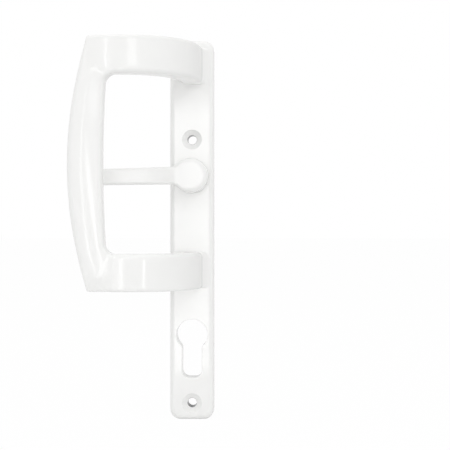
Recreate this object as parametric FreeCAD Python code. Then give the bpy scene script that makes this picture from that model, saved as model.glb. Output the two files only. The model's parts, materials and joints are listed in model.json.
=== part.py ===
import FreeCAD, Part
import math
import os

# Sliding patio door handle, inside half: one casting (back plate, two arched legs, bowed grip)
# and a sprung thumb lever whose square socket turns the lock's spindle.
# Millimetres. X is across the plate (the grip is on the -X side), +Y points into the door, +Z is up.
# The origin is on the lever's turning axis, in the plane of the back face of the plate.

# Back plate
plate_length = 220.0
plate_width = 25.5
plate_depth = 12.0
plate_top = 78.8
plate_corner_radius = 6.0
plate_edge_radius = 3.0
plate_face = 2.6
plate_wall = 2.2

# Fixing screws
screw_upper = 21.3
screw_spacing = 153.0
screw_bore_radius = 2.7
screw_head_radius = 5.5
screw_cone_depth = 2.1
screw_rim_depth = 0.5
screw_post_wall = 3.1
hole_edge_round = 0.35

# Cylinder cut-out
cylinder_drop = 92.0
cylinder_radius = 9.0
cylinder_slot_width = 11.5
cylinder_height = 34.0
cylinder_slot_corner = 4.2
cylinder_throat_radius = 2.0
cylinder_collar = 1.6

# Ribs under the legs
rib_thickness = 1.6
rib_spread = 11.0
rib_setback = 1.0

# Legs: heights are measured from the front face of the plate
leg_upper_top = 74.1
leg_lower_bottom = -64.7
leg_width = 20.6
foot_outer = 6.3
foot_inner = -6.8
foot_fillet = 1.0
crown_outer = -33.0
crown_inner = -38.0
crown_height = 51.0
underside_height = 38.5
outer_squareness = 0.64
inner_squareness = 0.62

# Grip
grip_outer_middle = -65.5
grip_outer_end = -54.0
grip_inner_middle = -46.0
grip_inner_end = -44.3
grip_front_radius = 91.0
grip_back_radius = 150.0
grip_corner_radius = 5.2
grip_side_margin = 3.0
grip_outer_round = 3.6
leg_edge_round = 1.4
opening_edge_round = 2.8
edge_round_share = 0.4

# Thumb lever: heights are measured from the front face of the plate
hub_radius = 9.8
hub_height = 15.0
hub_edge_round = 1.5
arm_end = -57.0
arm_root_width = 10.2
arm_end_width = 9.0
arm_thickness = 6.0
arm_rise_start = -8.5
arm_rise_angle = 7.0
arm_rise_radius = 40.0
arm_droop_angle = 1.5
arm_root_fillet = 6.0
arm_end_corner = 3.0
arm_rim_setback = 1.0
shank_radius = 6.75
shank_setback = 0.4
socket_size = 8.0
socket_clearance = 0.1
socket_depth = 20.0
key_flats = 12.0
key_clearance = 0.04

# Bush
bush_wall = 1.3
bush_flange_thickness = 1.0
bush_flange_radius = 9.3
bush_seat_clearance = 0.02
running_clearance = 0.05
hub_clearance = 0.1

# Spring well, cup and driver
well_wall = 1.4
cup_wall = 0.7
cup_floor = 0.8
cup_clearance = 0.1
cup_bore_clearance = 0.3
stack_clearance = 0.1
driver_thickness = 1.2
driver_clearance = 0.15
driver_tab_angle = 16.0
driver_tab_thickness = 0.9

# Return spring
spring_wire = 1.0
spring_clearance = 0.4
spring_turns = 2.25
spring_front_angle = 180.0
spring_room = 3.6
spring_bend_radius = 0.6
spring_tang = 0.8
spring_hole_clearance = 0.15

# Cassette cover and the lever's stops
cover_thickness = 1.0
cover_bore_clearance = 0.5
cover_edge_clearance = 0.2
cover_height = 26.4
cover_corner_radius = 2.0
lever_travel = 40.0
slot_clearance = 0.15

# Cover screws
cover_screw_x = 7.6
cover_screw_z = 10.6
cover_screw_radius = 1.2
cover_screw_clearance = 0.02
cover_screw_hole_clearance = 0.15
cover_screw_length = 4.5
cover_screw_head_radius = 2.1
cover_screw_head_height = 1.2
cover_screw_recess_depth = 0.6
cover_screw_recess_width = 0.6
cover_screw_recess_length = 2.2
cover_post_wall = 1.3

# Retaining washer and ring
washer_thickness = 0.6
washer_width = 1.3
washer_clearance = 0.1
ring_thickness = 0.8
ring_width = 1.7
ring_gap_angle = 60.0
groove_depth = 0.45
groove_clearance = 0.05

# Cutting shapes run past the faces they cut by the overshoot. Edges are picked by their place
# within the tolerance, and one that runs across the arm is longer in Z than in X by the ratio.
overshoot = 1.0
tolerance = 0.01
across_ratio = 0.1

# Derived places
plate_front = -plate_depth
pocket_floor = plate_front + plate_face
plate_bottom = plate_top - plate_length
pocket_half_width = plate_width / 2 - plate_wall
screw_lower = screw_upper - screw_spacing
leg_upper_bottom = leg_upper_top - leg_width
leg_lower_top = leg_lower_bottom + leg_width
leg_centres = [leg_upper_top - leg_width / 2, leg_lower_bottom + leg_width / 2]
grip_middle = (leg_upper_top + leg_lower_bottom) / 2
hub_base = plate_front - bush_flange_thickness - hub_clearance
hub_top = plate_front - hub_height
arm_rise = (arm_rise_start - arm_end) * math.tan(math.radians(arm_rise_angle))
shank_end = -shank_setback
bush_bore = shank_radius + running_clearance
bush_radius = bush_bore + bush_wall
well_radius = pocket_half_width
cup_radius = well_radius - cup_clearance
driver_front = pocket_floor + cup_floor + stack_clearance
driver_back = driver_front + driver_thickness
driver_radius = cup_radius - cup_wall - driver_clearance
spring_front = driver_back + stack_clearance
spring_back = spring_front + spring_room
spring_radius = shank_radius + spring_clearance + spring_wire / 2
spring_back_angle = spring_front_angle + 360.0 * spring_turns
spring_rise = spring_room - spring_wire
spring_pitch_angle = math.atan(spring_rise / (2 * math.pi * spring_radius * spring_turns))
cover_front = spring_back + stack_clearance
cover_back = cover_front + cover_thickness
washer_front = cover_back + stack_clearance
ring_front = washer_front + washer_thickness + stack_clearance
cover_screw_places = [(-cover_screw_x, cover_screw_z), (cover_screw_x, -cover_screw_z)]


def point(x, y, z):
    return FreeCAD.Vector(x, y, z)


def front(height):
    """Y of a height above the front face of the plate."""
    return plate_front - height


def rod(radius, y_start, y_end, x=0.0, z=0.0):
    """Round bar along Y."""
    return Part.makeCylinder(radius, y_end - y_start, point(x, y_start, z), point(0, 1, 0))


def slab(x_low, x_high, y_low, y_high, z_low, z_high):
    return Part.makeBox(x_high - x_low, y_high - y_low, z_high - z_low, point(x_low, y_low, z_low))


def line(start, end):
    return Part.LineSegment(start, end).toShape()


def arc(start, middle, end):
    return Part.Arc(start, middle, end).toShape()


def bezier(*poles):
    curve = Part.BezierCurve()
    curve.setPoles(list(poles))
    return curve.toShape()


def prism(edges, y_start, y_end):
    """Solid of an outline drawn at y = 0 in the XZ plane, carried from y_start to y_end."""
    face = Part.Face(Part.Wire(Part.__sortEdges__(edges)))
    face.translate(point(0, y_start, 0))
    return face.extrude(point(0, y_end - y_start, 0))


def upright_edges(shape, x_low, x_high, z_low, z_high):
    """Straight edges along Y inside a window of X and Z."""
    found = []
    for edge in shape.Edges:
        box = edge.BoundBox
        along_y = box.XLength < tolerance and box.ZLength < tolerance
        in_x = x_low - tolerance <= box.XMin and box.XMax <= x_high + tolerance
        in_z = z_low - tolerance <= box.ZMin and box.ZMax <= z_high + tolerance
        if along_y and in_x and in_z:
            found.append(edge)
    return found


def rounded_block(x_low, x_high, y_low, y_high, z_low, z_high, radius):
    """Box whose four edges along Y are rounded."""
    block = slab(x_low, x_high, y_low, y_high, z_low, z_high)
    return block.makeFillet(radius, upright_edges(block, x_low, x_high, z_low, z_high))


def keyhole(margin, y_start, y_end):
    """Keyhole outline grown by a margin, carried along Y."""
    circle = rod(cylinder_radius + margin, y_start, y_end, 0, -cylinder_drop)
    slot_half = cylinder_slot_width / 2 + margin
    slot_bottom = -cylinder_drop + cylinder_radius - cylinder_height - margin
    slot = slab(-slot_half, slot_half, y_start, y_end, slot_bottom, -cylinder_drop)
    ends = upright_edges(slot, -slot_half, slot_half, slot_bottom, slot_bottom)
    slot = slot.makeFillet(cylinder_slot_corner, ends)
    outline = circle.fuse(slot).removeSplitter()
    throat_low = -cylinder_drop - cylinder_radius - margin
    throat_high = -cylinder_drop - overshoot
    throat = upright_edges(outline, -slot_half, slot_half, throat_low, throat_high)
    return outline.makeFillet(cylinder_throat_radius, throat)


def plate_shell():
    """Outer form of the plate with its rounded front edge, hollowed from behind."""
    half = plate_width / 2
    shell = rounded_block(-half, half, plate_front, 0, plate_bottom, plate_top, plate_corner_radius)
    rim = [edge for edge in shell.Edges if abs(edge.BoundBox.YMax - plate_front) < tolerance]
    shell = shell.makeFillet(plate_edge_radius, rim)
    pocket = rounded_block(
        -pocket_half_width,
        pocket_half_width,
        pocket_floor,
        overshoot,
        plate_bottom + plate_wall,
        plate_top - plate_wall,
        plate_corner_radius - plate_wall,
    )
    return shell.cut(pocket)


def plate_inner_features():
    """Posts, collar, spring well and ribs that stand inside the hollow plate."""
    features = []
    for z in (screw_upper, screw_lower):
        features.append(rod(screw_bore_radius + screw_post_wall, pocket_floor, 0, 0, z))
    features.append(keyhole(cylinder_collar, pocket_floor, 0))
    features.append(rod(well_radius + well_wall, pocket_floor, cover_front))
    for x, z in cover_screw_places:
        features.append(rod(cover_screw_radius + cover_post_wall, pocket_floor, cover_front, x, z))
    for centre in leg_centres:
        for side in (-1, 1):
            middle = centre + side * rib_spread / 2
            low = middle - rib_thickness / 2
            high = middle + rib_thickness / 2
            rib = slab(-pocket_half_width, pocket_half_width, pocket_floor, -rib_setback, low, high)
            features.append(rib)
    pocket_low = plate_bottom + plate_wall
    pocket_high = plate_top - plate_wall
    inside = slab(-pocket_half_width, pocket_half_width, pocket_floor, 0, pocket_low, pocket_high)
    return [feature.common(inside) for feature in features]


def screw_hole(z):
    """Through bore with a countersink and a short straight rim."""
    bore = rod(screw_bore_radius, plate_front - overshoot, overshoot, 0, z)
    cone_start = plate_front + screw_rim_depth
    rim = rod(screw_head_radius, plate_front - overshoot, cone_start, 0, z)
    cone = Part.makeCone(
        screw_head_radius, screw_bore_radius, screw_cone_depth, point(0, cone_start, z), point(0, 1, 0)
    )
    return [bore, rim, cone]


def plate_cuts():
    """Everything that is removed from the plate."""
    cuts = screw_hole(screw_upper) + screw_hole(screw_lower)
    cuts.append(keyhole(0, plate_front - overshoot, overshoot))
    seat_radius = bush_radius + bush_seat_clearance
    cuts.append(rod(seat_radius, plate_front - overshoot, pocket_floor + overshoot))
    cuts.append(rod(well_radius, pocket_floor, overshoot))
    for x, z in cover_screw_places:
        cuts.append(rod(cover_screw_radius + cover_screw_clearance, pocket_floor, cover_front, x, z))
    return cuts


def arc_drop(radius, reach):
    """How far an arc falls from its crown at a distance along it."""
    return radius - math.sqrt(radius ** 2 - reach ** 2)


def arch_bar():
    """The legs' arched section, carried over the whole height of the grip."""
    far = grip_outer_middle - grip_side_margin
    front_half = (crown_outer + far) / 2
    back_half = (crown_inner + far) / 2
    front_far = front(crown_height - arc_drop(grip_front_radius, crown_outer - far))
    front_mid = front(crown_height - arc_drop(grip_front_radius, crown_outer - front_half))
    back_far = front(underside_height - arc_drop(grip_back_radius, crown_inner - far))
    back_mid = front(underside_height - arc_drop(grip_back_radius, crown_inner - back_half))
    base = plate_front + plate_face / 2
    z = leg_lower_bottom
    outer_reach = outer_squareness * (crown_outer - foot_outer)
    inner_reach = inner_squareness * (crown_inner - foot_inner)
    edges = [
        line(point(foot_inner, base, z), point(foot_outer, base, z)),
        line(point(foot_outer, base, z), point(foot_outer, plate_front, z)),
        bezier(
            point(foot_outer, plate_front, z),
            point(foot_outer, front(outer_squareness * crown_height), z),
            point(crown_outer - outer_reach, front(crown_height), z),
            point(crown_outer, front(crown_height), z),
        ),
        arc(
            point(crown_outer, front(crown_height), z),
            point(front_half, front_mid, z),
            point(far, front_far, z),
        ),
        line(point(far, front_far, z), point(far, back_far, z)),
        arc(
            point(far, back_far, z),
            point(back_half, back_mid, z),
            point(crown_inner, front(underside_height), z),
        ),
        bezier(
            point(crown_inner, front(underside_height), z),
            point(crown_inner - inner_reach, front(underside_height), z),
            point(foot_inner, front(inner_squareness * underside_height), z),
            point(foot_inner, plate_front, z),
        ),
        line(point(foot_inner, plate_front, z), point(foot_inner, base, z)),
    ]
    face = Part.Face(Part.Wire(Part.__sortEdges__(edges)))
    return face.extrude(point(0, 0, leg_upper_top - leg_lower_bottom))


def grip_outline():
    """Front outline of legs and grip together: straight top and bottom, bowed outer side."""
    right = foot_outer + overshoot
    upper = point(grip_outer_end, 0, leg_upper_top)
    lower = point(grip_outer_end, 0, leg_lower_bottom)
    upper_right = point(right, 0, leg_upper_top)
    lower_right = point(right, 0, leg_lower_bottom)
    edges = [
        line(upper, upper_right),
        line(upper_right, lower_right),
        line(lower_right, lower),
        arc(lower, point(grip_outer_middle, 0, grip_middle), upper),
    ]
    return prism(edges, front(crown_height + overshoot), 0)


def finger_opening():
    """Window between the legs, with a slightly bowed grip side and rounded grip corners."""
    right = foot_outer + overshoot
    upper = point(grip_inner_end, 0, leg_upper_bottom)
    lower = point(grip_inner_end, 0, leg_lower_top)
    upper_right = point(right, 0, leg_upper_bottom)
    lower_right = point(right, 0, leg_lower_top)
    edges = [
        line(upper, upper_right),
        line(upper_right, lower_right),
        line(lower_right, lower),
        arc(lower, point(grip_inner_middle, 0, grip_middle), upper),
    ]
    window = prism(edges, front(crown_height + overshoot), 0)
    corners = upright_edges(window, grip_inner_end, grip_inner_end, leg_lower_top, leg_upper_bottom)
    return window.makeFillet(grip_corner_radius, corners)


def middle_of(edge):
    return edge.valueAt((edge.FirstParameter + edge.LastParameter) / 2)


def is_opening_edge(edge):
    """Front and back edges of the finger opening, from foot to foot."""
    box = edge.BoundBox
    place = middle_of(edge)
    runs_round = box.XLength + box.ZLength > tolerance
    between_legs = leg_lower_top - tolerance <= place.z <= leg_upper_bottom + tolerance
    on_seam = min(abs(place.x - crown_inner), abs(place.x - crown_outer)) < tolerance
    beside_grip = place.x > grip_inner_middle - tolerance
    before_plate = place.y < plate_front - tolerance
    return runs_round and between_legs and beside_grip and before_plate and not on_seam


def is_bowed_edge(edge):
    """Front and back edges of the grip's outer side."""
    is_long = edge.BoundBox.ZLength > leg_upper_bottom - leg_lower_top
    return is_long and middle_of(edge).x < grip_outer_end


def is_leg_edge(edge):
    """Edges of the flat top and bottom ends of the bow."""
    place = middle_of(edge)
    at_end = min(abs(place.z - leg_upper_top), abs(place.z - leg_lower_bottom)) < tolerance
    return at_end and place.y < plate_front - tolerance


def round_edges(shape, radius, test):
    return shape.makeFillet(radius, [edge for edge in shape.Edges if test(edge)])


def grip_depth(x):
    """Depth of the grip from front to back at a place across the plate."""
    front_height = crown_height - arc_drop(grip_front_radius, crown_outer - x)
    back_height = underside_height - arc_drop(grip_back_radius, crown_inner - x)
    return front_height - back_height


def bow():
    """Both legs and the grip as one form. Its edges are rounded as far as its thinnest side allows."""
    widest = edge_round_share * grip_depth(grip_outer_middle)
    form = arch_bar().common(grip_outline()).cut(finger_opening()).removeSplitter()
    form = round_edges(form, min(opening_edge_round, widest), is_opening_edge)
    form = round_edges(form, min(grip_outer_round, widest), is_bowed_edge)
    return round_edges(form, min(leg_edge_round, widest), is_leg_edge)


def is_foot_edge(edge):
    """Edges where a leg stands on the front face of the plate."""
    box = edge.BoundBox
    on_face = max(abs(box.YMin - plate_front), abs(box.YMax - plate_front)) < tolerance
    in_width = foot_inner - tolerance <= box.XMin and box.XMax <= foot_outer + tolerance
    in_legs = leg_lower_bottom - tolerance <= box.ZMin and box.ZMax <= leg_upper_top + tolerance
    in_opening = leg_lower_top + tolerance < middle_of(edge).z < leg_upper_bottom - tolerance
    return on_face and in_width and in_legs and not in_opening


def is_hole_edge(edge):
    """Front edges of the screw holes and of the cylinder cut-out."""
    box = edge.BoundBox
    middle_z = (box.ZMin + box.ZMax) / 2
    on_face = box.YLength < tolerance and abs(box.YMin - plate_front) < tolerance
    in_screw_hole = min(abs(middle_z - screw_upper), abs(middle_z - screw_lower)) < tolerance
    cut_out_low = -cylinder_drop + cylinder_radius - cylinder_height
    in_cut_out = cut_out_low - tolerance < middle_z < -cylinder_drop + cylinder_radius
    in_width = max(-box.XMin, box.XMax) < cylinder_radius + tolerance
    return on_face and in_width and (in_screw_hole or in_cut_out)


def handle_casting():
    casting = plate_shell().fuse(bow()).removeSplitter()
    casting = round_edges(casting, foot_fillet, is_foot_edge)
    casting = casting.fuse(plate_inner_features())
    casting = casting.cut(plate_cuts()).removeSplitter()
    return round_edges(casting, hole_edge_round, is_hole_edge)


def arm_plan():
    """Hub disc and tapering arm seen from the front, with hollow fillets at the root."""
    half_root = arm_root_width / 2
    half_end = arm_end_width / 2
    edges = [
        line(point(0, 0, half_root), point(arm_end, 0, half_end)),
        line(point(arm_end, 0, half_end), point(arm_end, 0, -half_end)),
        line(point(arm_end, 0, -half_end), point(0, 0, -half_root)),
        line(point(0, 0, -half_root), point(0, 0, half_root)),
    ]
    outermost = front(hub_height + arm_rise + overshoot)
    arm = prism(edges, outermost, plate_front)
    arm = arm.makeFillet(arm_end_corner, upright_edges(arm, arm_end, arm_end, -half_end, half_end))
    plan = arm.fuse(rod(hub_radius, outermost, plate_front)).removeSplitter()
    roots = upright_edges(plan, -hub_radius, -hub_radius / 2, -half_root, half_root)
    plan = plan.makeFillet(arm_root_fillet, roots)
    plan.rotate(point(0, 0, 0), point(0, 1, 0), -arm_droop_angle)
    return plan


def arm_side():
    """Arm seen from below: flush with the hub, then rising away from the door towards the grip."""
    reach = arm_end - overshoot
    low = hub_height - arm_thickness
    corners = [
        (hub_radius, hub_height),
        (arm_rise_start, hub_height),
        (reach, hub_height + arm_rise),
        (reach, low + arm_rise),
        (arm_rise_start, low),
        (hub_radius, low),
    ]
    points = [point(x, front(height), -hub_radius) for x, height in corners]
    face = Part.Face(Part.makePolygon(points + points[:1]))
    band = face.extrude(point(0, 0, 2 * hub_radius))
    bends = []
    for edge in band.Edges:
        box = edge.BoundBox
        along_z = box.XLength < tolerance and box.YLength < tolerance
        if along_z and abs(box.XMin - arm_rise_start) < tolerance:
            bends.append(edge)
    return band.makeFillet(arm_rise_radius, bends)


def is_lever_rim(edge):
    """Outer edges of the lever's front, and the long lower edges of its arm."""
    box = edge.BoundBox
    place = middle_of(edge)
    upright = box.XLength < tolerance and box.ZLength < tolerance
    beyond_hub = place.x < -hub_radius - arm_rim_setback
    at_front = abs(place.y - hub_top) < tolerance and box.YLength < tolerance
    across = box.XLength < across_ratio * box.ZLength
    inner_bend = across and place.x > arm_end + arm_end_corner
    return not upright and not inner_bend and (beyond_hub or at_front)


def thumb_lever():
    arm = arm_plan().common(arm_side())
    lever = arm.fuse(rod(hub_radius, hub_top, hub_base)).removeSplitter()
    lever = round_edges(lever, hub_edge_round, is_lever_rim)
    shank = rod(shank_radius, hub_base, shank_end)
    half_flats = key_flats / 2
    for side in (-1, 1):
        middle = side * (half_flats + shank_radius / 2)
        low = middle - shank_radius / 2
        high = middle + shank_radius / 2
        shank = shank.cut(slab(-shank_radius, shank_radius, driver_front, 0, low, high))
    groove_start = ring_front - groove_clearance
    groove_end = ring_front + ring_thickness + groove_clearance
    groove = rod(shank_radius + overshoot, groove_start, groove_end)
    shank = shank.cut(groove.cut(rod(shank_radius - groove_depth, groove_start, groove_end)))
    half_socket = socket_size / 2 + socket_clearance
    socket = slab(-half_socket, half_socket, shank_end - socket_depth, 0, -half_socket, half_socket)
    return lever.fuse(shank).cut(socket).removeSplitter()


def lever_bush():
    barrel = rod(bush_radius, plate_front, pocket_floor)
    flange = rod(bush_flange_radius, plate_front - bush_flange_thickness, plate_front)
    return barrel.fuse(flange).cut(rod(bush_bore, hub_top, 0)).removeSplitter()


def spring_cup():
    cup = rod(cup_radius, pocket_floor, cover_front)
    cup = cup.cut(rod(cup_radius - cup_wall, pocket_floor + cup_floor, cover_front))
    return cup.cut(rod(bush_bore + cup_bore_clearance, pocket_floor, cover_front))


def polar(radius, angle):
    """Point about the lever axis, by its angle in degrees from +Z towards +X."""
    turn = math.radians(angle)
    return point(radius * math.sin(turn), 0, radius * math.cos(turn))


def ring_sector(inner, outer, y_start, y_end, half_angle, middle_angle):
    """Part of a flat ring about the lever axis."""
    low = middle_angle - half_angle
    high = middle_angle + half_angle
    edges = [
        arc(polar(outer, low), polar(outer, middle_angle), polar(outer, high)),
        line(polar(outer, high), polar(inner, high)),
        arc(polar(inner, high), polar(inner, middle_angle), polar(inner, low)),
        line(polar(inner, low), polar(outer, low)),
    ]
    return prism(edges, y_start, y_end)


def spring_driver():
    disc = rod(driver_radius, driver_front, driver_back)
    half_flats = key_flats / 2 + key_clearance
    key = rod(shank_radius + key_clearance, driver_front, driver_back)
    flats = slab(-driver_radius, driver_radius, driver_front, driver_back, -half_flats, half_flats)
    tab_inner = driver_radius - driver_tab_thickness
    tab = ring_sector(tab_inner, driver_radius, driver_front, cover_back, driver_tab_angle / 2, 0)
    tang = spring_end(-1)[1]
    hole = rod(spring_wire / 2 + spring_hole_clearance, driver_front, driver_back, tang.x, tang.z)
    return disc.cut(key.common(flats)).fuse(tab).cut(hole).removeSplitter()


def spring_end(side):
    """Bent wire at the coil's front (side -1) or back (side 1) end, and where its tang starts."""
    angle = spring_front_angle if side < 0 else spring_back_angle
    middle = (spring_front + spring_back) / 2
    start = polar(spring_radius, angle) + point(0, middle + side * spring_rise / 2, 0)
    along = polar(math.cos(spring_pitch_angle), angle + 90) + point(0, math.sin(spring_pitch_angle), 0)
    away = along * side
    across = polar(-side * math.sin(spring_pitch_angle), angle + 90)
    across = across + point(0, side * math.cos(spring_pitch_angle), 0)
    centre = start + across * spring_bend_radius
    turn = math.pi / 2 - spring_pitch_angle
    root = centre + away * (spring_bend_radius * math.sin(turn))
    root = root - across * (spring_bend_radius * math.cos(turn))
    face = Part.Face(Part.Wire(Part.makeCircle(spring_wire / 2, start, away)))
    elbow = face.revolve(centre, away.cross(across), math.degrees(turn))
    return elbow, root


def return_spring():
    """Coil of round wire whose two ends bend along the axis into the driver and the cover."""
    wire_radius = spring_wire / 2
    helix = Part.makeHelix(spring_rise / spring_turns, spring_rise, spring_radius)
    square = point(0, math.cos(spring_pitch_angle), math.sin(spring_pitch_angle))
    section = Part.Wire(Part.makeCircle(wire_radius, point(spring_radius, 0, 0), square))
    coil = helix.makePipeShell([section], True, True)
    coil.rotate(point(0, 0, 0), point(1, 0, 0), -90)
    coil.translate(point(0, spring_front + wire_radius, 0))
    coil.rotate(point(0, 0, 0), point(0, 1, 0), spring_front_angle - 90)
    pieces_of_wire = []
    for side in (-1, 1):
        elbow, root = spring_end(side)
        tip = root.y + side * spring_tang
        pieces_of_wire.append(elbow)
        pieces_of_wire.append(rod(wire_radius, min(root.y, tip), max(root.y, tip), root.x, root.z))
    return coil.fuse(pieces_of_wire).removeSplitter()


def cassette_cover():
    half_width = pocket_half_width - cover_edge_clearance
    half_height = cover_height / 2
    cover = rounded_block(
        -half_width, half_width, cover_front, cover_back, -half_height, half_height, cover_corner_radius
    )
    tab_inner = driver_radius - driver_tab_thickness
    slot_turn = lever_travel + driver_tab_angle / 2 + math.degrees(slot_clearance / driver_radius)
    slot = ring_sector(
        tab_inner - slot_clearance, driver_radius + slot_clearance, cover_front, cover_back, slot_turn, 0
    )
    tang = spring_end(1)[1]
    cuts = [slot, rod(shank_radius + cover_bore_clearance, cover_front, cover_back)]
    cuts.append(rod(spring_wire / 2 + spring_hole_clearance, cover_front, cover_back, tang.x, tang.z))
    for x, z in cover_screw_places:
        cuts.append(rod(cover_screw_radius + cover_screw_hole_clearance, cover_front, cover_back, x, z))
    return cover.cut(cuts)


def cover_screw(x, z):
    """Pan head screw with a cross recess, driven from behind."""
    shaft = rod(cover_screw_radius, cover_back - cover_screw_length, cover_back, x, z)
    head = rod(cover_screw_head_radius, cover_back, cover_back + cover_screw_head_height, x, z)
    top = cover_back + cover_screw_head_height
    rim = [edge for edge in head.Edges if abs(edge.BoundBox.YMin - top) < tolerance]
    head = head.makeFillet(cover_screw_head_height / 2, rim)
    recess_floor = top - cover_screw_recess_depth
    long = cover_screw_recess_length / 2
    short = cover_screw_recess_width / 2
    level = slab(x - long, x + long, recess_floor, top, z - short, z + short)
    upright = slab(x - short, x + short, recess_floor, top, z - long, z + long)
    return shaft.fuse(head).cut([level, upright]).removeSplitter()


def cover_screws():
    return Part.makeCompound([cover_screw(x, z) for x, z in cover_screw_places])


def retaining_washer():
    bore = shank_radius + washer_clearance
    outer = rod(bore + washer_width, washer_front, washer_front + washer_thickness)
    return outer.cut(rod(bore, washer_front, washer_front + washer_thickness))


def retaining_ring():
    bore = shank_radius - groove_depth + groove_clearance
    turn = 180 - ring_gap_angle / 2
    return ring_sector(bore, bore + ring_width, ring_front, ring_front + ring_thickness, turn, 180)


def write(node, shape):
    print(node, "solids", len(shape.Solids), "valid", shape.isValid(), "volume", round(shape.Volume, 1))
    shape.exportStep("parts/" + node + ".step")


pieces = {
    "handle_casting": handle_casting,
    "thumb_lever": thumb_lever,
    "lever_bush": lever_bush,
    "spring_cup": spring_cup,
    "spring_driver": spring_driver,
    "return_spring": return_spring,
    "cassette_cover": cassette_cover,
    "cover_screws": cover_screws,
    "retaining_washer": retaining_washer,
    "retaining_ring": retaining_ring,
}

os.makedirs("parts", exist_ok=True)
for node, make in pieces.items():
    write(node, make())
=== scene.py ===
import json
import math
import bpy
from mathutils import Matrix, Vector

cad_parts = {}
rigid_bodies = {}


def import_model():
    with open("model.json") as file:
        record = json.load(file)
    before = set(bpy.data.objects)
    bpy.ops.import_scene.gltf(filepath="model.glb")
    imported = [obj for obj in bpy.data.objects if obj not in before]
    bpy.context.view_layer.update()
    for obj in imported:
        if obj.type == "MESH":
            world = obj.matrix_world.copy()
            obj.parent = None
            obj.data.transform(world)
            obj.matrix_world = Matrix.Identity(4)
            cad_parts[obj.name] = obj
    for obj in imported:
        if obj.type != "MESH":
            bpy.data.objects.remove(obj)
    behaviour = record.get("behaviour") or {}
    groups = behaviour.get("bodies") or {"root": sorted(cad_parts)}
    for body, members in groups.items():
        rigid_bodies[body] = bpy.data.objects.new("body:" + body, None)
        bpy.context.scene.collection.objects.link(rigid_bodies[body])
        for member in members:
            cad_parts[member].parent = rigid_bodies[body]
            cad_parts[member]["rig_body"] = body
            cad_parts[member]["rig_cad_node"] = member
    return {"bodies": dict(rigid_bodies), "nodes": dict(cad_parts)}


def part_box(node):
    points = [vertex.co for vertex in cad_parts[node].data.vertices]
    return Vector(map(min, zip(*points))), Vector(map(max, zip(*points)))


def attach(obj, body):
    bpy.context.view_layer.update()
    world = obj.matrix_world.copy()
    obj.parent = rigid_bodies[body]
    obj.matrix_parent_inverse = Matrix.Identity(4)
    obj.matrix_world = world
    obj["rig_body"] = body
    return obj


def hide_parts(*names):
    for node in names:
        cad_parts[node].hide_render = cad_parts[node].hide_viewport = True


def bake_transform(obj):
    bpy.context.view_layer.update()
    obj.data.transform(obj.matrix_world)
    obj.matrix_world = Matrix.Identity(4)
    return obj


bl_info = {
    "name": "Patio Door Handle",
    "version": (1, 0, 0),
    "blender": (4, 5, 0),
    "location": "View3D > Sidebar > Door Handle",
    "description": "Surfaces and studio for a white sliding patio door handle",
    "category": "Add Mesh",
}

MM = 0.001

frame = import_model()
nodes = frame["nodes"]
CAST_LOW, CAST_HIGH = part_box("handle_casting")

# The bush ends flush with the back of the plate's front wall, which is this thick.
FRONT_WALL = 2.6 * MM
PLATE_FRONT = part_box("lever_bush")[1].y - FRONT_WALL


def length(name, description, value):
    return bpy.props.FloatProperty(
        name=name, description=description, default=value, unit="LENGTH", precision=5
    )


def factor(name, description, value):
    return bpy.props.FloatProperty(
        name=name, description=description, default=value, min=0, soft_max=1
    )


def colour(name, description, value):
    return bpy.props.FloatVectorProperty(
        name=name, description=description, default=value, subtype="COLOR", size=3, min=0, max=1
    )


class BowSizes(bpy.types.PropertyGroup):
    """Form of the two legs and the grip. Heights stand on the front face of the plate."""

    leg_top: length("Top of upper leg", "Height of the upper leg's top face", 74.1 * MM)
    leg_bottom: length("Bottom of lower leg", "Height of the lower leg's bottom face", -64.7 * MM)
    leg_width: length("Leg width", "Width of each leg along the plate", 20.6 * MM)
    foot_outer: length("Foot, outer side", "Where the front of the arch meets the plate", 6.3 * MM)
    foot_inner: length("Foot, inner side", "Where the back of the arch meets the plate", -6.8 * MM)
    foot_flare: length("Foot flare", "Radius where the foot runs into the plate", 0.3 * MM)
    foot_sweep: length("Foot sweep", "The same radius on the foot's outer side", 3.8 * MM)
    crown_outer: length("Crown, outer side", "Where the front of the arch is highest", -33.0 * MM)
    crown_inner: length("Crown, inner side", "Where the back of the arch is highest", -38.0 * MM)
    crown_height: length("Crown height", "Front of the arch above the plate", 51.0 * MM)
    underside: length("Underside height", "Back of the arch above the plate", 38.5 * MM)
    front_pull: factor("Front squareness", "How squarely the front of the arch bends", 0.64)
    back_pull: factor("Back squareness", "How squarely the back of the arch bends", 0.62)
    front_radius: length("Front radius", "Sweep of the front from the crown to the grip", 91.0 * MM)
    back_radius: length("Back radius", "Sweep of the back from the crown to the grip", 150.0 * MM)
    outer_middle: length("Grip outside, middle", "Outer side of the grip at its middle", -65.5 * MM)
    outer_end: length("Grip outside, end", "Outer side of the grip at the legs' ends", -54.0 * MM)
    inner_middle: length("Grip inside, middle", "Inner side of the grip at its middle", -46.0 * MM)
    inner_end: length("Grip inside, end", "Inner side of the grip at the legs", -44.3 * MM)
    window_corner: length("Window corner", "Radius of the finger opening beside the grip", 5.2 * MM)
    leg_edge: length("Leg edge", "Rounding of the legs' outer edges", 1.5 * MM)
    window_edge: length("Window edge", "Rounding round the finger opening", 2.8 * MM)
    grip_edge: length("Grip edge", "Rounding of the grip's outer side", 3.8 * MM)
    ridge_soft: length("Ridge softness", "Half width of the ridge at the grip's middle", 5.6 * MM)
    ridge_crisp: length("Ridge crispness", "Half width of the ridge at its top", 1.6 * MM)


class LeverSizes(bpy.types.PropertyGroup):
    """Form of the hub's front edge."""

    hub_round: length("Hub rounding", "Radius round the front of the hub", 2.6 * MM)


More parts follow.
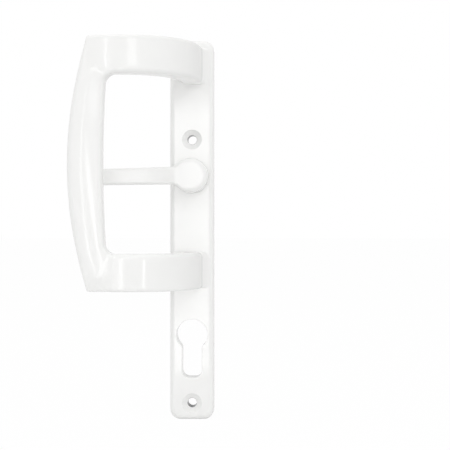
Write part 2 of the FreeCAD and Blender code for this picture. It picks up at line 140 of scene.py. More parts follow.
class Finishes(bpy.types.PropertyGroup):
    """Colours of the pieces, and of the shade painted in the screw bores."""

    coat: colour("Powder coat", "White of the castings", (0.88, 0.88, 0.87))
    # Near-black painted shade on the walls of the screw bores, standing in for the shade inside
    # them.
    bore: colour("Painted bore shade", "Walls of the screw bores", (0.05, 0.055, 0.06))
    acetal: colour("Acetal", "Natural white plastic of bush and cup", (0.74, 0.74, 0.71))
    zinc: colour("Zinc plate", "Plated steel pieces", (0.62, 0.64, 0.66))
    spring: colour("Spring steel", "Oiled spring steel", (0.27, 0.27, 0.28))


class Studio(bpy.types.PropertyGroup):
    """Camera and light."""

    distance: length("Camera distance", "From the camera to the front of the plate", 690 * MM)
    camera_x: length("Camera across", "Place of the camera across the plate", 38.9 * MM)
    camera_z: length("Camera height", "Place of the camera up the plate", -31.2 * MM)
    view_width: length("View width", "Width of the picture at the front of the plate", 261.1 * MM)
    ambient: factor("Ambient", "Strength of the light from the room in front", 0.81)
    ambient_back: factor("Ambient behind", "Share of that light that comes from behind", 0.57)


# Small helpers for modelling

# Points of a CAD node's triangles that are nearer than this are one point.
CAD_MERGE = 0.001 * MM
# Edges that bend by less than this shade smooth.
SMOOTH_BELOW = math.radians(35)
# Large faces win over the small ones beside them.
FACE_WEIGHT = 100


def select_only(piece):
    for other in list(bpy.context.selected_objects):
        other.select_set(False)
    piece.select_set(True)
    bpy.context.view_layer.objects.active = piece


def edit_all(piece):
    """Starts edit mode on one piece, with the whole of it selected."""
    select_only(piece)
    bpy.ops.object.mode_set(mode="EDIT")
    bpy.ops.mesh.select_all(action="SELECT")


def named(piece, name):
    piece.name = name
    piece.data.name = name
    return piece


def copy_node(node, name):
    """Own copy of a CAD node's mesh, with its loose triangles merged."""
    piece = nodes[node].copy()
    piece.data = nodes[node].data.copy()
    piece.parent = None
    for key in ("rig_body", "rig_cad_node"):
        del piece[key]
    bpy.context.scene.collection.objects.link(piece)
    edit_all(named(piece, name))
    bpy.ops.mesh.remove_doubles(threshold=CAD_MERGE)
    bpy.ops.object.mode_set(mode="OBJECT")
    return piece


def even_normals(piece):
    """Flat faces shade flat and rounded edges run smoothly into them."""
    select_only(piece)
    bpy.ops.mesh.customdata_custom_splitnormals_clear()
    bpy.ops.object.shade_smooth_by_angle(angle=SMOOTH_BELOW)
    weighted = piece.modifiers.new("Weighted", "WEIGHTED_NORMAL")
    weighted.keep_sharp = True
    weighted.weight = FACE_WEIGHT
    bpy.ops.object.modifier_apply(modifier=weighted.name)


def dress(piece, look):
    """Gives a piece one of the finishes and nothing else."""
    piece.data.materials.clear()
    piece.data.materials.append(look)


def finish_piece(piece, look, body, replaced=()):
    dress(piece, look)
    if replaced:
        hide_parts(*replaced)
    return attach(piece, body)


# Form of the bow

# The ridge on the grip's front. It lies at a share of the width from the outer side, drifts
# inwards towards the top, and two gently tilted faces fall away from it.
RIDGE_SHARE = 0.35
RIDGE_DRIFT_UP = 0.1
RIDGE_BELOW_CROWN = 1.5 * MM
OUTER_TILT = 0.36
INNER_TILT = 0.10
# Distance below the top of the finger opening above which the ridge is crisp.
RIDGE_TOP_DROP = 11.5 * MM

# Points on each rounded corner of a section, and on each straight side between two corners.
CORNER_POINTS = 6
SIDE_POINTS = (1, 9, 1, 4)

# Rings of points in each stretch of the bow, from a foot to the middle of the grip. The first ring
# lies a little inside the plate.
FOOT_SINK = 0.4 * MM
FOOT_STEPS = 8
ARCH_STEPS = 26
CROWN_STEPS = 3
CORNER_STEPS = 40
GRIP_STEPS = 14

# How sharply the leg's outline turns into the grip's, per metre.
CORNER_SHARPNESS = 2.2 / MM
# Shares of a corner's turn over which the leg's form gives way to the grip's: the outer edge, the
# front face on the upper side (1) and on the lower side (-1), and the inner side.
EDGE_TURN = (0.35, 1)
FACE_TURN = {1: (0.3, 1), -1: (0, 0.25)}
INNER_TURN = (0.5, 1)

# Steps and limits of the two searches for a place on a curve.
ARCH_TRIES = 40
SIDE_TRIES = 6
SIDE_LIMIT = 1.5
LEAST_SLOPE = 1e-4

# Points of the bow that are nearer than this are one point.
BOW_MERGE = 0.002 * MM


def arc_drop(radius, reach):
    """How far an arc falls from its crown at a distance along it."""
    return radius - math.sqrt(radius ** 2 - reach ** 2)


def bezier(poles, t):
    """Point of a cubic curve with four poles."""
    u = 1 - t
    weights = (u ** 3, 3 * u * u * t, 3 * u * t * t, t ** 3)
    return sum((pole * weight for pole, weight in zip(poles, weights)), Vector((0, 0)))


def smooth_step(low, high, value):
    """Soft step from 0 at the low value to 1 at the high one."""
    t = min(max((value - low) / (high - low), 0), 1)
    return t * t * (3 - 2 * t)


def bowed(middle, end, half_chord, z):
    """Place across the plate of a bowed side at a height from the grip's middle."""
    sagitta = end - middle
    radius = (half_chord ** 2 + sagitta ** 2) / (2 * abs(sagitta))
    return middle + math.copysign(arc_drop(radius, z), sagitta)


class Bow:
    """Form of the bow's sides, front and back."""

    def __init__(self, sizes):
        s = self.s = sizes
        self.middle = (s.leg_top + s.leg_bottom) / 2
        self.half = (s.leg_top - s.leg_bottom) / 2
        self.window = self.half - s.leg_width
        reach_out = s.front_pull * (s.crown_outer - s.foot_outer)
        reach_in = s.back_pull * (s.crown_inner - s.foot_inner)
        self.outer_poles = (
            Vector((s.foot_outer, 0)),
            Vector((s.foot_outer, s.front_pull * s.crown_height)),
            Vector((s.crown_outer - reach_out, s.crown_height)),
            Vector((s.crown_outer, s.crown_height)),
        )
        self.inner_poles = (
            Vector((s.foot_inner, 0)),
            Vector((s.foot_inner, s.back_pull * s.underside)),
            Vector((s.crown_inner - reach_in, s.underside)),
            Vector((s.crown_inner, s.underside)),
        )

    def arch_share(self, height):
        """Share of the arch at which its outer side has a height."""
        low, high = 0.0, 1.0
        for _ in range(ARCH_TRIES):
            middle = (low + high) / 2
            if bezier(self.outer_poles, middle).y < height:
                low = middle
            else:
                high = middle
        return high

    def outer_x(self, z):
        return bowed(self.s.outer_middle, self.s.outer_end, self.half, z)

    def inner_x(self, z):
        return bowed(self.s.inner_middle, self.s.inner_end, self.window, z)

    def back(self, x):
        reach = min(x - self.s.crown_inner, 0)
        return self.s.underside - arc_drop(self.s.back_radius, reach)

    def leg_front(self, x):
        reach = min(x - self.s.crown_outer, 0)
        return self.s.crown_height - arc_drop(self.s.front_radius, reach)

    def ridge_softness(self, z):
        """Half width of the ridge, crisp near the top of the grip and softer below."""
        s = self.s
        soften = (s.ridge_soft - s.ridge_crisp) / (self.window - RIDGE_TOP_DROP)
        return max(s.ridge_crisp, s.ridge_crisp + (self.window - RIDGE_TOP_DROP - z) * soften)

    def grip_front(self, share, width, z):
        """Two gently tilted faces that meet in a ridge."""
        place = RIDGE_SHARE + RIDGE_DRIFT_UP * max(z, 0) / self.window
        across = (share - place) * width
        tilt = (OUTER_TILT - INNER_TILT) / 2 * across
        softness = self.ridge_softness(z)
        fold = (OUTER_TILT + INNER_TILT) / 2 * (math.hypot(across, softness) - softness)
        return self.s.crown_height - RIDGE_BELOW_CROWN + tilt - fold


def rounded_section(width, depth, edges):
    """Rounded rectangle in shares (0 to 1) of width and depth, from the outer back corner round.

    The edges are the radii at the outer back, outer front, inner front and inner back corner.
    """
    outer_back, outer_front, inner_front, inner_back = edges
    corners = [
        ((0, 0), outer_back, (1, 0), (0, 1)),
        ((0, 1), outer_front, (0, -1), (1, 0)),
        ((1, 1), inner_front, (-1, 0), (0, -1)),
        ((1, 0), inner_back, (0, 1), (-1, 0)),
    ]
    points = []
    for (u, v), radius, first, second in corners:
        for step in range(CORNER_POINTS):
            turn = math.pi / 2 * step / (CORNER_POINTS - 1)
            along = radius * (1 - math.sin(turn))
            over = radius * (1 - math.cos(turn))
            du = first[0] * along + second[0] * over
            dv = first[1] * along + second[1] * over
            points.append((u + du / width, v + dv / depth))
    return points


def fill_between(points, counts):
    """Adds points on the straight sides between the corners."""
    filled = []
    for corner, count in enumerate(counts):
        filled += points[corner * CORNER_POINTS:(corner + 1) * CORNER_POINTS]
        start = points[(corner + 1) * CORNER_POINTS - 1]
        end = points[((corner + 1) * CORNER_POINTS) % len(points)]
        for i in range(1, count + 1):
            t = i / (count + 1)
            filled.append((start[0] + (end[0] - start[0]) * t, start[1] + (end[1] - start[1]) * t))
    return filled


def flare_at(radius, height):
    """How far a hollow fillet spreads at a height above the plate."""
    below = max(radius - height, 0)
    return radius - math.sqrt(radius ** 2 - below ** 2)


def leg_ring(bow, height, side, sink=0):
    """Section of a leg whose outer side is at a height.

    The side is 1 for the upper leg and -1 for the lower one, here and in the other rings.
    """
    s = bow.s
    t = bow.arch_share(height)
    outer = bezier(bow.outer_poles, t)
    inner = bezier(bow.inner_poles, t)
    depth = (outer - inner).length
    along = (outer - inner).normalized()
    flare = flare_at(s.foot_flare, height)
    sweep = flare_at(s.foot_sweep, height)
    outer, inner = outer + along * sweep, inner - along * flare
    width = s.leg_width + 2 * flare
    edge, window = s.leg_edge + flare, s.window_edge + flare
    section = rounded_section(width, depth + flare + sweep, (edge, edge, window, window))
    ring = []
    for u, v in fill_between(section, SIDE_POINTS):
        place = inner.lerp(outer, v)
        z = bow.half + flare - u * width
        ring.append(Vector((place.x, PLATE_FRONT - place.y + sink, bow.middle + side * z)))
    return ring


def crown_ring(bow, share, x_end, side):
    """Section between the end of the arch and the start of the corner."""
    s = bow.s
    front_x = s.crown_outer + (x_end - s.crown_outer) * share
    back_x = s.crown_inner + (x_end - s.crown_inner) * share
    front = Vector((front_x, bow.leg_front(front_x)))
    back = Vector((back_x, bow.back(back_x)))
    section = rounded_section(
        s.leg_width, (front - back).length, (s.leg_edge, s.leg_edge, s.window_edge, s.window_edge)
    )
    ring = []
    for u, v in fill_between(section, SIDE_POINTS):
        place = back.lerp(front, v)
        z = bow.half - u * s.leg_width
        ring.append(Vector((place.x, PLATE_FRONT - place.y, bow.middle + side * z)))
    return ring


def plan_ring(bow, outer, inner, turn, side):
    """Section on a line across the corner or the grip. The turn is 0 at the leg, 1 at the grip."""
    s = bow.s
    width = (inner - outer).length
    edge = s.leg_edge + (s.grip_edge - s.leg_edge) * smooth_step(*EDGE_TURN, turn)
    window = s.window_edge
    blend = smooth_step(*FACE_TURN[side], turn)
    depth = s.crown_height - s.underside
    section = rounded_section(width, depth, (edge, edge, window, window))
    ring = []
    for u, v in fill_between(section, SIDE_POINTS):
        plan = outer.lerp(inner, u)
        low = bow.back(plan.x)
        grip_z = side * min(plan.y, bow.window)
        grip = bow.grip_front(u, width, grip_z)
        high = bow.leg_front(plan.x) * (1 - blend) + grip * blend
        height = low + (high - low) * v
        ring.append(Vector((plan.x, PLATE_FRONT - height, bow.middle + side * plan.y)))
    return ring


def corner_reach(bow, centre, direction):
    """Distance from the corner's centre to the outer outline, rounded where its sides meet."""
    to_top = (bow.half - centre.y) / max(direction.y, LEAST_SLOPE)
    to_side = (centre.x - bow.s.outer_middle) / max(-direction.x, LEAST_SLOPE)
    for _ in range(SIDE_TRIES):
        z = centre.y + direction.y * to_side
        if abs(z) > bow.half * SIDE_LIMIT:
            break
        to_side = (centre.x - bow.outer_x(z)) / max(-direction.x, LEAST_SLOPE)
    nearest = min(to_top, to_side)
    far = max(to_top, to_side)
    rounding = math.log1p(math.exp(-(far - nearest) * CORNER_SHARPNESS)) / CORNER_SHARPNESS
    return nearest - rounding


def half_rings(bow, side):
    """Rings from a foot to the middle of the grip."""
    s = bow.s
    rings = [leg_ring(bow, 0, side, FOOT_SINK)]
    for step in range(FOOT_STEPS):
        rings.append(leg_ring(bow, s.foot_sweep * (step / FOOT_STEPS) ** 2, side))
    start = bow.arch_share(s.foot_sweep)
    for step in range(ARCH_STEPS + 1):
        share = start + (1 - start) * step / ARCH_STEPS
        rings.append(leg_ring(bow, bezier(bow.outer_poles, share).y, side))
    radius = s.window_corner
    centre = Vector((s.inner_end + radius, bow.window - radius))
    for step in range(1, CROWN_STEPS):
        rings.append(crown_ring(bow, step / CROWN_STEPS, centre.x, side))
    to_grip = centre.x - bow.inner_x(centre.y)
    for step in range(CORNER_STEPS + 1):
        share = step / CORNER_STEPS
        phi = math.pi / 2 * (1 + share)
        direction = Vector((math.cos(phi), math.sin(phi)))
        inner_radius = radius + (to_grip - radius) * smooth_step(*INNER_TURN, share)
        outer = centre + direction * corner_reach(bow, centre, direction)
        rings.append(plan_ring(bow, outer, centre + direction * inner_radius, share, side))
    for step in range(1, GRIP_STEPS + 1):
        z = centre.y * (1 - step / GRIP_STEPS)
        outer, inner = Vector((bow.outer_x(z), z)), Vector((bow.inner_x(z), z))
        rings.append(plan_ring(bow, outer, inner, 1, side))
    return rings


def make_bow(name):
    """A grid, rolled onto the sections, closed along its seam and capped at both feet."""
    bow = Bow(bpy.context.scene.patio_bow)
    upper = half_rings(bow, 1)
    lower = half_rings(bow, -1)
    rings = upper + lower[-2::-1]
    around = len(rings[0])
    bpy.ops.mesh.primitive_grid_add(x_subdivisions=around, y_subdivisions=len(rings) - 1, size=1)
    piece = named(bpy.context.active_object, name)
    for index, vertex in enumerate(piece.data.vertices):
        row, column = divmod(index, around + 1)
        vertex.co = rings[row][column % around]
    edit_all(piece)
    bpy.ops.mesh.remove_doubles(threshold=BOW_MERGE)
    bpy.ops.mesh.select_all(action="DESELECT")
    bpy.ops.mesh.select_non_manifold()
    bpy.ops.mesh.edge_face_add()
    bpy.ops.mesh.select_all(action="SELECT")
    bpy.ops.mesh.normals_make_consistent(inside=False)
    bpy.ops.object.mode_set(mode="OBJECT")
    smooth = piece.modifiers.new("Smooth", "SUBSURF")
    smooth.levels = smooth.render_levels = 1
    bpy.ops.object.modifier_apply(modifier=smooth.name)
    bpy.ops.object.shade_smooth()
    return piece


# Plate and lever, made from copies of their CAD nodes

# The plate is cut this far in front of its face.
PLATE_TRIM = 0.02 * MM

# The hub and the rounding of its front edge, as the CAD node has them.
HUB_RADIUS = 9.8 * MM
HUB_HEIGHT = 15 * MM
HUB_FRONT = PLATE_FRONT - HUB_HEIGHT
CAST_ROUND = 1.5 * MM
# How far past that rounding its points may lie.
SEAM = 0.01 * MM
# Degrees from the arm at which the wider rounding starts and at which it is full.
ARM_ROOT = 48
ARM_CLEAR = 85


def make_plate(name):
    """The casting's plate, cut off just in front of its face so that the bow can stand on it."""
    piece = copy_node("handle_casting", name)
    edit_all(piece)
    bpy.ops.mesh.bisect(
        plane_co=(0, PLATE_FRONT - PLATE_TRIM, 0),
        plane_no=(0, -1, 0),
        clear_outer=True,
        use_fill=True,
        threshold=PLATE_TRIM / 10,
    )
    bpy.ops.object.mode_set(mode="OBJECT")
    even_normals(piece)
    return piece


def make_lever(name):
    """The lever, with the rounding of its hub widened all round except where the arm leaves it."""
    rounding = bpy.context.scene.patio_lever.hub_round
    piece = copy_node("thumb_lever", name)
    start = HUB_RADIUS - CAST_ROUND
    for vertex in piece.data.vertices:
        x, y, z = vertex.co
        reach = math.hypot(x, z)
        out = reach - start
        up = CAST_ROUND - (y - HUB_FRONT)
        if reach > HUB_RADIUS + SEAM or out < -SEAM or up < -SEAM or up > CAST_ROUND + SEAM:
            continue
        turn = math.atan2(max(out, 0), max(up, 0))
        from_arm = math.degrees(math.acos(-x / reach))
        wider = (rounding - CAST_ROUND) * smooth_step(ARM_ROOT, ARM_CLEAR, from_arm)
        radius = CAST_ROUND + wider
        new_reach = HUB_RADIUS - radius + radius * math.sin(turn)
        new_y = HUB_FRONT + radius - radius * math.cos(turn)
        vertex.co = (x * new_reach / reach, new_y, z * new_reach / reach)
    even_normals(piece)
    return piece


# Materials

# Waves of each pattern per metre.
CASTING_WAVES = 28
CLOUD_WAVES = 70
PEEL_WAVES = 900
PATCH_WAVES = 160
GRAIN_WAVES = 1500
# Middle of what a noise gives.
NOISE_MIDDLE = 0.5
# How much the orange peel changes the coat's roughness.
PEEL_ROUGHNESS = 0.06

# Mirror of the coat by how far the surface turns away: full up to the start, faint from the end on.
FACING_BLEND = 0.5
FULL_MIRROR = 0.5
RIM_START = 0.15
RIM_END = 0.75
RIM_MIRROR = 0.03

# Heights of the two fixing-screw holes and how far round them the painted shade of the bores
# reaches.
SCREW_UPPER = 21.3 * MM
SCREW_LOWER = -131.7 * MM
BORE_REACH = 2.75 * MM

WHITE = (1, 1, 1, 1)
EFFECT_OUTPUTS = (
    ("Color", "NodeSocketColor"),
    ("Roughness", "NodeSocketFloat"),
    ("Height", "NodeSocketFloat"),
)


def new_group(name, inputs, outputs):
    """Empty shader group with its named inputs and outputs."""
    group = bpy.data.node_groups.new(name, "ShaderNodeTree")
    for socket_name, kind, value in inputs:
        socket = group.interface.new_socket(name=socket_name, in_out="INPUT", socket_type=kind)
        socket.default_value = value
    for socket_name, kind in outputs:
        group.interface.new_socket(name=socket_name, in_out="OUTPUT", socket_type=kind)
    return group, group.nodes.new("NodeGroupInput"), group.nodes.new("NodeGroupOutput")


def add_node(tree, kind, **values):
    node = tree.nodes.new(kind)
    for key, value in values.items():
        setattr(node, key, value)
    return node


def noise(tree, waves, detail):
    """Noise on the piece's own coordinates."""
    place = tree.nodes.new("ShaderNodeTexCoord")
    texture = tree.nodes.new("ShaderNodeTexNoise")
    texture.inputs["Scale"].default_value = waves
    texture.inputs["Detail"].default_value = detail
    tree.links.new(place.outputs["Object"], texture.inputs["Vector"])
    return texture.outputs["Fac"]


def maths(tree, operation, *values):
    """One calculation on sockets and plain numbers."""
    node = add_node(tree, "ShaderNodeMath", operation=operation)
    for socket, value in zip(node.inputs, values):
        if isinstance(value, bpy.types.NodeSocket):
            tree.links.new(value, socket)
        else:
            socket.default_value = value
    return node.outputs["Value"]


def shade_colour(group, start, end, shade):
    """Makes the colour lighter and darker over the surface."""
    scale = add_node(group, "ShaderNodeVectorMath", operation="SCALE")
    group.links.new(start.outputs["Color"], scale.inputs[0])
    group.links.new(shade, scale.inputs["Scale"])
    group.links.new(scale.outputs["Vector"], end.inputs["Color"])


def bore_group():
    """Mask of the walls of the two fixing-screw bores, where shade is painted, from the piece's own
    coordinates.
    """
    group, start, end = new_group(
        "Screw Bores",
        [(name, "NodeSocketFloat", 0.0) for name in ("Upper", "Lower", "Radius")],
        [("Mask", "NodeSocketFloat")],
    )
    place = group.nodes.new("ShaderNodeTexCoord")
    split = group.nodes.new("ShaderNodeSeparateXYZ")
    group.links.new(place.outputs["Object"], split.inputs["Vector"])
    x, z = split.outputs["X"], split.outputs["Z"]
    masks = []
    for name in ("Upper", "Lower"):
        up = maths(group, "SUBTRACT", z, start.outputs[name])
        square = maths(group, "MULTIPLY_ADD", x, x, maths(group, "MULTIPLY", up, up))
        reach = maths(group, "SQRT", square)
        masks.append(maths(group, "LESS_THAN", reach, start.outputs["Radius"]))
    group.links.new(maths(group, "MAXIMUM", *masks), end.inputs["Mask"])
    return group


def coat_group():
    """Powder coat: fine orange peel, slow waviness of the casting under it, faint cloudiness."""
    group, start, end = new_group(
        "Powder Coat",
        [
            ("Color", "NodeSocketColor", WHITE),
            ("Cloud", "NodeSocketFloat", 0.02),
            ("Peel", "NodeSocketFloat", 0.3),
            ("Wave", "NodeSocketFloat", 1.0),
            ("Roughness", "NodeSocketFloat", 0.2),
        ],
        EFFECT_OUTPUTS,
    )
    wave = noise(group, CASTING_WAVES, detail=1)
    fine = noise(group, PEEL_WAVES, detail=2)
    cloud = maths(group, "SUBTRACT", noise(group, CLOUD_WAVES, detail=3), NOISE_MIDDLE)
    shade = maths(group, "MULTIPLY_ADD", cloud, start.outputs["Cloud"], 1.0)
    shade_colour(group, start, end, shade)
    peel = maths(group, "MULTIPLY", fine, start.outputs["Peel"])
    height = maths(group, "MULTIPLY_ADD", wave, start.outputs["Wave"], peel)
    group.links.new(height, end.inputs["Height"])
    uneven = maths(group, "SUBTRACT", fine, NOISE_MIDDLE)
    rough = maths(group, "MULTIPLY_ADD", uneven, PEEL_ROUGHNESS, start.outputs["Roughness"])
    group.links.new(rough, end.inputs["Roughness"])
    return group


def metal_group():
    """Plated or drawn metal: fine grain in colour and roughness."""
    group, start, end = new_group(
        "Plated Metal",
        [
            ("Color", "NodeSocketColor", WHITE),
            ("Grain", "NodeSocketFloat", 0.1),
            ("Roughness", "NodeSocketFloat", 0.3),
        ],
        EFFECT_OUTPUTS,
    )
    fine = noise(group, GRAIN_WAVES, detail=4)
    both = maths(group, "ADD", fine, noise(group, PATCH_WAVES, detail=3))
    uneven = maths(group, "SUBTRACT", both, 2 * NOISE_MIDDLE)
    grain = start.outputs["Grain"]
    shade_colour(group, start, end, maths(group, "MULTIPLY_ADD", uneven, grain, 1.0))
    rough = maths(group, "MULTIPLY_ADD", uneven, grain, start.outputs["Roughness"])
    group.links.new(rough, end.inputs["Roughness"])
    group.links.new(fine, end.inputs["Height"])
    return group


def material(name, group, values, bump_distance, **shader_values):
    """Principled material fed by one effect group. Uniform values go straight on the shader."""
    made = bpy.data.materials.new(name)
    made.use_nodes = True
    tree = made.node_tree
    shader = tree.nodes["Principled BSDF"]
    effect = add_node(tree, "ShaderNodeGroup", node_tree=group)
    for key, value in values.items():
        effect.inputs[key].default_value = value
    bump = tree.nodes.new("ShaderNodeBump")
    bump.inputs["Distance"].default_value = bump_distance
    bump.inputs["Strength"].default_value = 1.0
    tree.links.new(effect.outputs["Color"], shader.inputs["Base Color"])
    tree.links.new(effect.outputs["Roughness"], shader.inputs["Roughness"])
    tree.links.new(effect.outputs["Height"], bump.inputs["Height"])
    tree.links.new(bump.outputs["Normal"], shader.inputs["Normal"])
    for key, value in shader_values.items():
        shader.inputs[key].default_value = value
    return made


def paint_bore_shade(made, bore):
    """Paints shade on the walls of the fixing-screw bores, near black and darker than the coat."""
    tree = made.node_tree
    base = tree.nodes["Principled BSDF"].inputs["Base Color"]
    mask = add_node(tree, "ShaderNodeGroup", node_tree=bore_group())
    mask.inputs["Upper"].default_value = SCREW_UPPER
    mask.inputs["Lower"].default_value = SCREW_LOWER
    mask.inputs["Radius"].default_value = BORE_REACH
    mix = add_node(tree, "ShaderNodeMix", data_type="RGBA")
    mix.inputs["B"].default_value = (*bore, 1)
    tree.links.new(mask.outputs["Mask"], mix.inputs["Factor"])
    tree.links.new(base.links[0].from_socket, mix.inputs["A"])
    tree.links.new(mix.outputs["Result"], base)


def soften_rims(made):
    """The coat's orange peel breaks up its mirror where the surface turns away from the eye."""
    tree = made.node_tree
    weight = tree.nodes.new("ShaderNodeLayerWeight")
    weight.inputs["Blend"].default_value = FACING_BLEND
    fade = add_node(tree, "ShaderNodeMapRange", interpolation_type="SMOOTHSTEP")
    fade.inputs["From Min"].default_value = RIM_START
    fade.inputs["From Max"].default_value = RIM_END
    fade.inputs["To Min"].default_value = FULL_MIRROR
    fade.inputs["To Max"].default_value = RIM_MIRROR
    tree.links.new(weight.outputs["Facing"], fade.inputs["Value"])
    mirror = tree.nodes["Principled BSDF"].inputs["Specular IOR Level"]
    tree.links.new(fade.outputs["Result"], mirror)


def finish_materials():
    """All finishes, made once."""
    if "White Powder Coat" in bpy.data.materials:
        return bpy.data.materials
    colours = bpy.context.scene.patio_finish
    coat = coat_group()
    metal = metal_group()
    for name, cloud in (("White Powder Coat", 0.03), ("White Powder Coat, Plate", 0.08)):
        values = {
            "Color": (*colours.coat, 1), "Cloud": cloud, "Peel": 0.008, "Wave": 1.0,
            "Roughness": 0.12,
        }
        soften_rims(material(name, coat, values, bump_distance=0.3 * MM, IOR=1.5))
    # Painted shade in the screw bores of the plate.
    paint_bore_shade(bpy.data.materials["White Powder Coat, Plate"], colours.bore)
    values = {
        "Color": (*colours.acetal, 1), "Cloud": 0.05, "Peel": 0.05, "Wave": 0.0,
        "Roughness": 0.42,
    }
    material("Natural Acetal", coat, values, bump_distance=0.05 * MM, IOR=1.48)
    values = {"Color": (*colours.zinc, 1), "Grain": 0.12, "Roughness": 0.3}
    material("Zinc Plate", metal, values, bump_distance=0.01 * MM, Metallic=1.0)
    values = {"Color": (*colours.spring, 1), "Grain": 0.08, "Roughness": 0.25}
    material("Spring Steel", metal, values, bump_distance=0.005 * MM, Metallic=1.0)
    return bpy.data.materials


# Pieces


class PATIO_OT_casting(bpy.types.Operator):
    """Back plate, legs and grip in one white casting"""

    bl_idname = "patio_handle.casting"
    bl_label = "Handle Casting"

    def execute(self, context):
        finishes = finish_materials()
        plate = make_plate("casting_plate")
        bow = make_bow("casting_bow")
        plate_coat = finishes["White Powder Coat, Plate"]
        finish_piece(plate, plate_coat, "back_plate", ["handle_casting"])
        finish_piece(bow, finishes["White Powder Coat"], "back_plate")
        return {"FINISHED"}


class PATIO_OT_lever(bpy.types.Operator):
    """Thumb lever with its hub and arm"""

    bl_idname = "patio_handle.lever"
    bl_label = "Thumb Lever"

    def execute(self, context):
        coat = finish_materials()["White Powder Coat"]
        lever = make_lever("lever_casting")
        finish_piece(lever, coat, "lever", ["thumb_lever"])
        return {"FINISHED"}


class PATIO_OT_works(bpy.types.Operator):
    """Finishes of the bush, cup, driver, cover, screws, washer and ring"""

    bl_idname = "patio_handle.works"
    bl_label = "Lever Works"

    def execute(self, context):
        finishes = finish_materials()
        looks = {
            "Natural Acetal": ("lever_bush", "spring_cup"),
            "Zinc Plate": ("spring_driver", "cassette_cover", "cover_screws", "retaining_washer"),
            "Spring Steel": ("retaining_ring",),
        }
        for look, names in looks.items():
            for name in names:
                dress(nodes[name], finishes[look])
        return {"FINISHED"}


class PATIO_OT_spring(bpy.types.Operator):
    """Return spring, wound up between the driver and the cover as the lever turns"""

    bl_idname = "patio_handle.spring"
    bl_label = "Return Spring"

    def execute(self, context):
        spring = copy_node("return_spring", "coil_spring")
        even_normals(spring)
        dress(spring, finish_materials()["Spring Steel"])
        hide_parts("return_spring")
        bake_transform(spring)
        return {"FINISHED"}


# Studio

# The camera's sensor and near limit, and the shift that frames the handle as in the photograph.
SENSOR_WIDTH = 36
CLIP_START = 0.01
SHIFT_ACROSS = -0.0756
SHIFT_UP = 0.0111

# Each panel's name, degrees to the left of the view and above it, distance, width, height, power.
# The fills give soft light and don't show in the gloss. The strips show only in the gloss.
FILLS = (
    ("Top Fill", 0, 85, 1.5, 0.9, 0.9, 3.4),
    ("Left Fill", 60, 30, 1.5, 0.9, 0.8, 2.6),
    ("Low Left Fill", 60, -15, 1.5, 0.9, 0.8, 0.75),
    ("Left Key", 25, -15, 1.5, 0.9, 0.8, 2.45),
    ("Right Key", -25, 30, 1.5, 0.9, 0.8, 2.4),
    ("Low Right Key", -25, -15, 1.5, 0.9, 0.8, 2.2),
    ("Right Fill", -60, 30, 1.5, 0.9, 0.8, 1.3),
    ("Low Right Fill", -60, -15, 1.5, 0.9, 0.8, 0.35),
)
STRIPS = (
    ("Front Strip", -2.8, -1.3, 0.2, 0.072, 0.203, 0.138),
    ("Hub Strip", -5.1, 12.4, 0.206, 0.026, 0.044, 0.0095),
    ("Left Strip", 20.3, 4.6, 0.358, 0.009, 0.27, 0.044),
    ("Near Left Strip", 9.6, -3.3, 0.354, 0.02, 0.171, 0.038),
    ("Low Right Strip", -20, -2.4, 1.5, 0.07, 0.1, 0.14),
    ("High Right Strip", -3, 12, 1.5, 0.3, 0.2, 0.35),
)
# The one piece that mirrors each of these strips. The other strips show in all pieces.
STRIP_TARGETS = {
    "Front Strip": "casting_plate",
    "Hub Strip": "lever_casting",
    "High Right Strip": "casting_bow",
}

# The room's light dims from front to back within this share of its radius round its middle.
WORLD_TURN = 0.3

FLOOR_SIZE = 30
FLOOR_PAINT = (0.95, 0.95, 0.95, 1)
# Share of plain white in what the camera, mirrors and glass see of the floor. The rest is shadow.
FLOOR_WHITE = 0.975


def panel_light(name, bearing, elevation, distance, width, height, power, mirrored):
    """Panel that faces the middle of the handle, given in the order of the tables above."""
    lamp = bpy.data.lights.new(name, "AREA")
    lamp.shape = "RECTANGLE"
    lamp.size = width
    lamp.size_y = height
    lamp.energy = power
    holder = bpy.data.objects.new(name, lamp)
    bpy.context.scene.collection.objects.link(holder)
    turn = math.radians(bearing)
    rise = math.radians(elevation)
    middle = (CAST_LOW + CAST_HIGH) / 2
    target = Vector((middle.x, PLATE_FRONT, middle.z))
    level = math.cos(rise)
    away = Vector((-math.sin(turn) * level, -math.cos(turn) * level, math.sin(rise)))
    holder.location = target + away * distance
    holder.rotation_euler = away.to_track_quat("Z", "Y").to_euler()
    holder.visible_camera = False
    holder.visible_glossy = mirrored
    holder.visible_diffuse = not mirrored


def shine_on(lamp, piece):
    """Keeps a strip's mirror image to one piece."""
    receivers = bpy.data.collections.new(f"{lamp.name} Receivers")
    receivers.objects.link(piece)
    lamp.light_linking.receiver_collection = receivers


def seen_share(tree):
    """1 for what the camera, a mirror or glass sees and 0 for the light on a surface."""
    rays = tree.nodes.new("ShaderNodeLightPath").outputs
    seen = maths(tree, "MAXIMUM", rays["Is Camera Ray"], rays["Is Transmission Ray"])
    return maths(tree, "MAXIMUM", seen, rays["Is Glossy Ray"])


def make_world(studio):
    """White where it is seen. The light it gives is softer, and dimmer from behind."""
    world = bpy.data.worlds.new("Studio")
    bpy.context.scene.world = world
    world.use_nodes = True
    tree = world.node_tree
    back = tree.nodes["Background"]
    back.inputs["Color"].default_value = WHITE
    place = tree.nodes.new("ShaderNodeTexCoord")
    split = tree.nodes.new("ShaderNodeSeparateXYZ")
    tree.links.new(place.outputs["Generated"], split.inputs["Vector"])
    fade = add_node(tree, "ShaderNodeMapRange", interpolation_type="SMOOTHSTEP")
    fade.inputs["From Min"].default_value = -WORLD_TURN
    fade.inputs["From Max"].default_value = WORLD_TURN
    fade.inputs["To Min"].default_value = studio.ambient
    fade.inputs["To Max"].default_value = studio.ambient * studio.ambient_back
    tree.links.new(split.outputs["Y"], fade.inputs["Value"])
    seen = seen_share(tree)
    unseen = maths(tree, "SUBTRACT", 1.0, seen)
    strength = maths(tree, "MULTIPLY_ADD", unseen, fade.outputs["Result"], seen)
    tree.links.new(strength, back.inputs["Strength"])


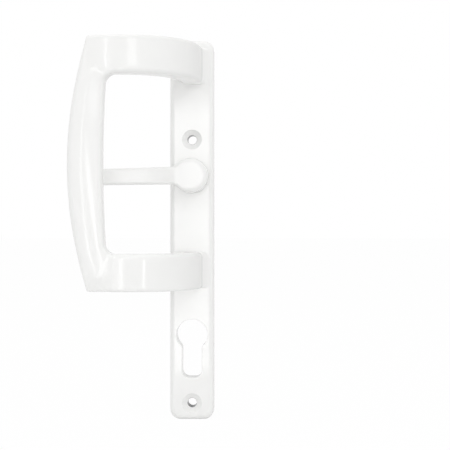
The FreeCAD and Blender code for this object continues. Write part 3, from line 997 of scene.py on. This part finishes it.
def make_floor():
    """Pale floor under the handle's lower end."""
    bpy.ops.mesh.primitive_plane_add(size=FLOOR_SIZE, location=(0, 0, CAST_LOW.z))
    floor = named(bpy.context.active_object, "floor")
    paint = bpy.data.materials.new("Pale Floor")
    paint.use_nodes = True
    tree = paint.node_tree
    shader = tree.nodes["Principled BSDF"]
    shader.inputs["Base Color"].default_value = FLOOR_PAINT
    shader.inputs["Roughness"].default_value = 1.0
    glow = tree.nodes.new("ShaderNodeEmission")
    glow.inputs["Color"].default_value = WHITE
    mix = tree.nodes.new("ShaderNodeMixShader")
    tree.links.new(maths(tree, "MULTIPLY", seen_share(tree), FLOOR_WHITE), mix.inputs["Fac"])
    tree.links.new(shader.outputs["BSDF"], mix.inputs[1])
    tree.links.new(glow.outputs["Emission"], mix.inputs[2])
    tree.links.new(mix.outputs["Shader"], tree.nodes["Material Output"].inputs["Surface"])
    floor.data.materials.append(paint)


class PATIO_OT_stage(bpy.types.Operator):
    """Camera, floor and light"""

    bl_idname = "patio_handle.stage"
    bl_label = "Stage"

    def execute(self, context):
        scene = context.scene
        studio = scene.patio_studio
        scene.view_settings.view_transform = "Standard"
        camera = bpy.data.cameras.new("Camera")
        camera.sensor_width = SENSOR_WIDTH
        camera.lens = SENSOR_WIDTH * studio.distance / studio.view_width
        camera.shift_x = SHIFT_ACROSS
        camera.shift_y = SHIFT_UP
        camera.clip_start = CLIP_START
        holder = bpy.data.objects.new("Camera", camera)
        scene.collection.objects.link(holder)
        holder.location = (studio.camera_x, PLATE_FRONT - studio.distance, studio.camera_z)
        holder.rotation_euler = (math.pi / 2, 0, 0)
        scene.camera = holder
        make_world(studio)
        make_floor()
        for lamp in FILLS:
            panel_light(*lamp, mirrored=False)
        for lamp in STRIPS:
            panel_light(*lamp, mirrored=True)
        for lamp, piece in STRIP_TARGETS.items():
            shine_on(bpy.data.objects[lamp], bpy.data.objects[piece])
        return {"FINISHED"}


# Add-on

MAKERS = (PATIO_OT_casting, PATIO_OT_lever, PATIO_OT_works, PATIO_OT_spring, PATIO_OT_stage)
GROUPS = {
    "patio_bow": BowSizes,
    "patio_lever": LeverSizes,
    "patio_finish": Finishes,
    "patio_studio": Studio,
}


class PATIO_PT_panel(bpy.types.Panel):
    """Lists the makers and their settings"""

    bl_label = "Patio Door Handle"
    bl_idname = "PATIO_PT_panel"
    bl_space_type = "VIEW_3D"
    bl_region_type = "UI"
    bl_category = "Door Handle"

    def draw(self, context):
        for maker in MAKERS:
            self.layout.operator(maker.bl_idname)
        for name, kind in GROUPS.items():
            box = self.layout.box()
            for key in kind.__annotations__:
                box.prop(getattr(context.scene, name), key)


def register():
    for kind in (*GROUPS.values(), *MAKERS, PATIO_PT_panel):
        bpy.utils.register_class(kind)
    for name, kind in GROUPS.items():
        setattr(bpy.types.Scene, name, bpy.props.PointerProperty(type=kind))


def unregister():
    for name in GROUPS:
        delattr(bpy.types.Scene, name)
    for kind in (PATIO_PT_panel, *MAKERS, *GROUPS.values()):
        bpy.utils.unregister_class(kind)


def clear_start_objects():
    """Removes what a new file holds besides the frame."""
    kept = set(nodes.values()) | set(frame["bodies"].values())
    for thing in list(bpy.data.objects):
        if thing not in kept:
            bpy.data.objects.remove(thing)


def main():
    clear_start_objects()
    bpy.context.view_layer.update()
    register()
    bpy.ops.patio_handle.casting()
    bpy.ops.patio_handle.lever()
    bpy.ops.patio_handle.works()
    bpy.ops.patio_handle.spring()
    bpy.ops.patio_handle.stage()


if __name__ == "__main__":
    main()
